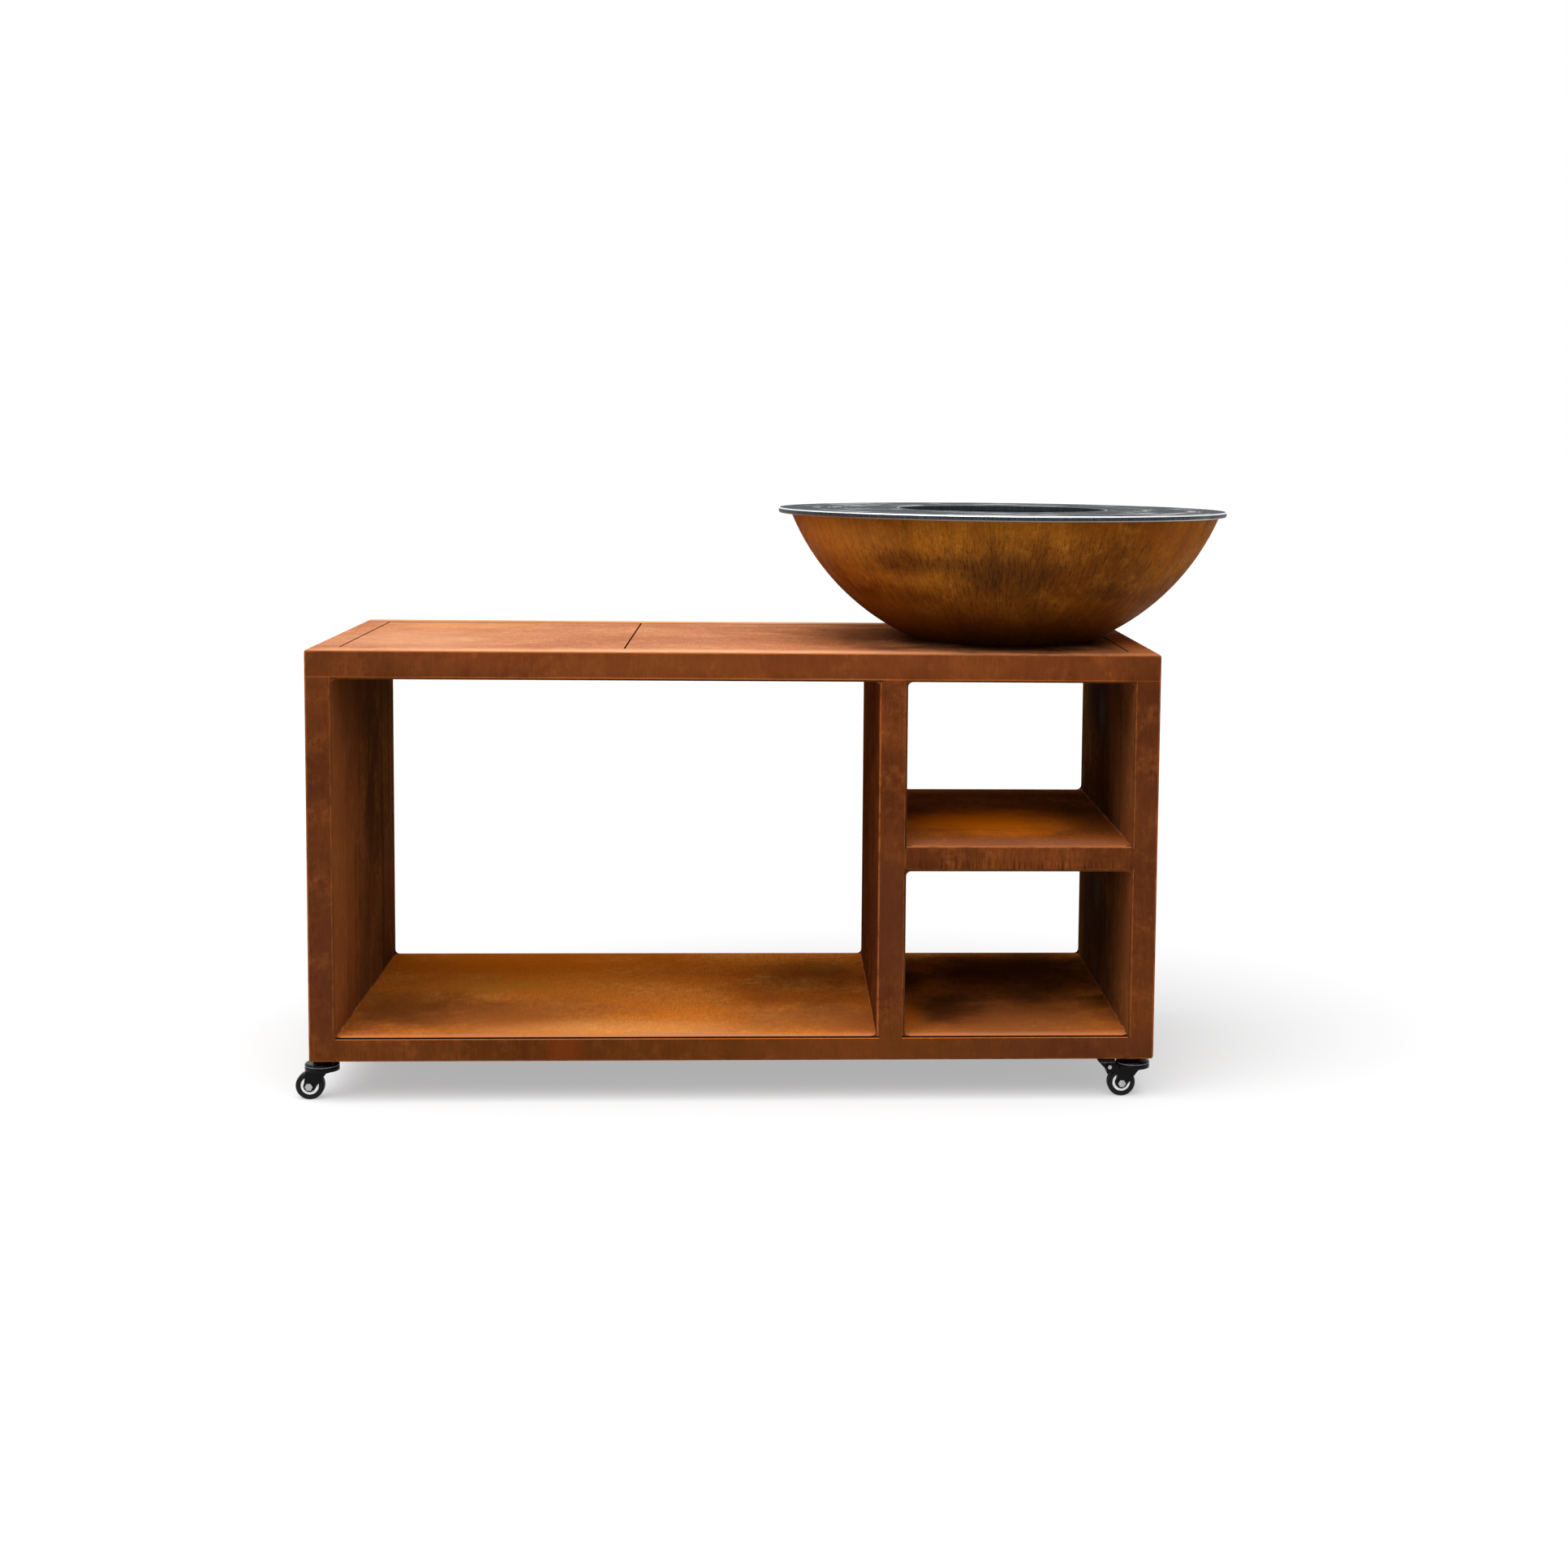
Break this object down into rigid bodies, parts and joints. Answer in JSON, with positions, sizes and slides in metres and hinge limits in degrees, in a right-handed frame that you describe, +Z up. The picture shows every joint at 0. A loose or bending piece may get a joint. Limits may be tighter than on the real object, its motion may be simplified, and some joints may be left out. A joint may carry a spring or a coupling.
{
  "type": "brazier grill table",
  "caption": "Open weathering-steel outdoor kitchen table on swivel casters, with a loose worktop lid, a side shelf and a fire bowl that carries a steel ring griddle.",
  "frame": {"origin": "on the floor, under the middle of the outline of the whole object", "axes": "+X along the table towards the bowl's end, +Y from the front to the back, +Z up"},
  "size_m": [1.698, 0.846, 1.05],
  "materials": {
    "weathering_steel": "matte",
    "griddle_steel": "satin",
    "caster_black": "gloss",
    "black_tyre": "satin",
    "bright_hub": "polished",
    "zinc": "satin",
    "race_nylon": "matte"
  },
  "bodies": {
    "table": {"top_tray": "weathering_steel", "top_soffit": "weathering_steel", "bowl_plate": "weathering_steel", "plate_ledges": "weathering_steel", "cross_bearers": "weathering_steel", "left_side_shell": "weathering_steel", "left_side_liner": "weathering_steel", "right_side_shell": "weathering_steel", "right_side_liner": "weathering_steel", "base_shell": "weathering_steel", "base_deck": "weathering_steel", "divider_shell": "weathering_steel", "divider_liner": "weathering_steel", "shelf_shell": "weathering_steel", "shelf_soffit": "weathering_steel", "corner_welds": "weathering_steel", "joint_welds": "weathering_steel", "caster_nuts": "zinc", "front_left_stem": "zinc", "front_left_cup": "caster_black", "front_right_stem": "zinc", "front_right_cup": "caster_black", "rear_left_stem": "zinc", "rear_left_cup": "caster_black", "rear_right_stem": "zinc", "rear_right_cup": "caster_black"},
    "lid": {"worktop_lid": "weathering_steel"},
    "bowl": {"fire_bowl": "weathering_steel"},
    "griddle": {"griddle_ring": "griddle_steel", "griddle_lugs": "griddle_steel"},
    "front_left_swivel": {"front_left_fork": "caster_black", "front_left_race": "race_nylon", "front_left_axle": "zinc", "front_left_bush": "zinc"},
    "front_left_wheel": {"front_left_hub": "bright_hub", "front_left_tyre": "black_tyre"},
    "front_right_swivel": {"front_right_fork": "caster_black", "front_right_race": "race_nylon", "front_right_axle": "zinc", "front_right_bush": "zinc", "front_right_brake_pin": "zinc"},
    "front_right_wheel": {"front_right_hub": "bright_hub", "front_right_tyre": "black_tyre"},
    "front_right_brake": {"front_right_pedal": "caster_black"},
    "rear_left_swivel": {"rear_left_fork": "caster_black", "rear_left_race": "race_nylon", "rear_left_axle": "zinc", "rear_left_bush": "zinc"},
    "rear_left_wheel": {"rear_left_hub": "bright_hub", "rear_left_tyre": "black_tyre"},
    "rear_right_swivel": {"rear_right_fork": "caster_black", "rear_right_race": "race_nylon", "rear_right_axle": "zinc", "rear_right_bush": "zinc", "rear_right_brake_pin": "zinc"},
    "rear_right_wheel": {"rear_right_hub": "bright_hub", "rear_right_tyre": "black_tyre"},
    "rear_right_brake": {"rear_right_pedal": "caster_black"}
  },
  "joints": [
    {"name": "lid_lift", "type": "slide", "parent": "table", "child": "lid", "axis": [0, 0, 1], "range_m": [0, 0.15]},
    {"name": "bowl_lift", "type": "slide", "parent": "table", "child": "bowl", "axis": [0, 0, 1], "range_m": [0, 0.3]},
    {"name": "griddle_lift", "type": "slide", "parent": "bowl", "child": "griddle", "axis": [0, 0, 1], "range_m": [0, 0.15]},
    {"name": "front_left_swivel_turn", "type": "hinge", "parent": "table", "child": "front_left_swivel", "pos_m": [-0.803, -0.312, 0.06], "axis": [0, 0, 1], "continuous": true},
    {"name": "front_left_wheel_roll", "type": "hinge", "parent": "front_left_swivel", "child": "front_left_wheel", "pos_m": [-0.824, -0.312, 0.025], "axis": [0, 1, 0], "continuous": true},
    {"name": "front_right_swivel_turn", "type": "hinge", "parent": "table", "child": "front_right_swivel", "pos_m": [0.648, -0.312, 0.06], "axis": [0, 0, 1], "continuous": true},
    {"name": "front_right_wheel_roll", "type": "hinge", "parent": "front_right_swivel", "child": "front_right_wheel", "pos_m": [0.627, -0.312, 0.025], "axis": [0, 1, 0], "continuous": true},
    {"name": "front_right_brake_press", "type": "hinge", "parent": "front_right_swivel", "child": "front_right_brake", "pos_m": [0.60503, -0.312, 0.05415], "axis": [0, -1, 0], "range_deg": [0, 15]},
    {"name": "rear_left_swivel_turn", "type": "hinge", "parent": "table", "child": "rear_left_swivel", "pos_m": [-0.803, 0.312, 0.06], "axis": [0, 0, 1], "continuous": true},
    {"name": "rear_left_wheel_roll", "type": "hinge", "parent": "rear_left_swivel", "child": "rear_left_wheel", "pos_m": [-0.824, 0.312, 0.025], "axis": [0, 1, 0], "continuous": true},
    {"name": "rear_right_swivel_turn", "type": "hinge", "parent": "table", "child": "rear_right_swivel", "pos_m": [0.648, 0.312, 0.06], "axis": [0, 0, 1], "continuous": true},
    {"name": "rear_right_wheel_roll", "type": "hinge", "parent": "rear_right_swivel", "child": "rear_right_wheel", "pos_m": [0.627, 0.312, 0.025], "axis": [0, 1, 0], "continuous": true},
    {"name": "rear_right_brake_press", "type": "hinge", "parent": "rear_right_swivel", "child": "rear_right_brake", "pos_m": [0.60503, 0.312, 0.05415], "axis": [0, -1, 0], "range_deg": [0, 15]}
  ]
}
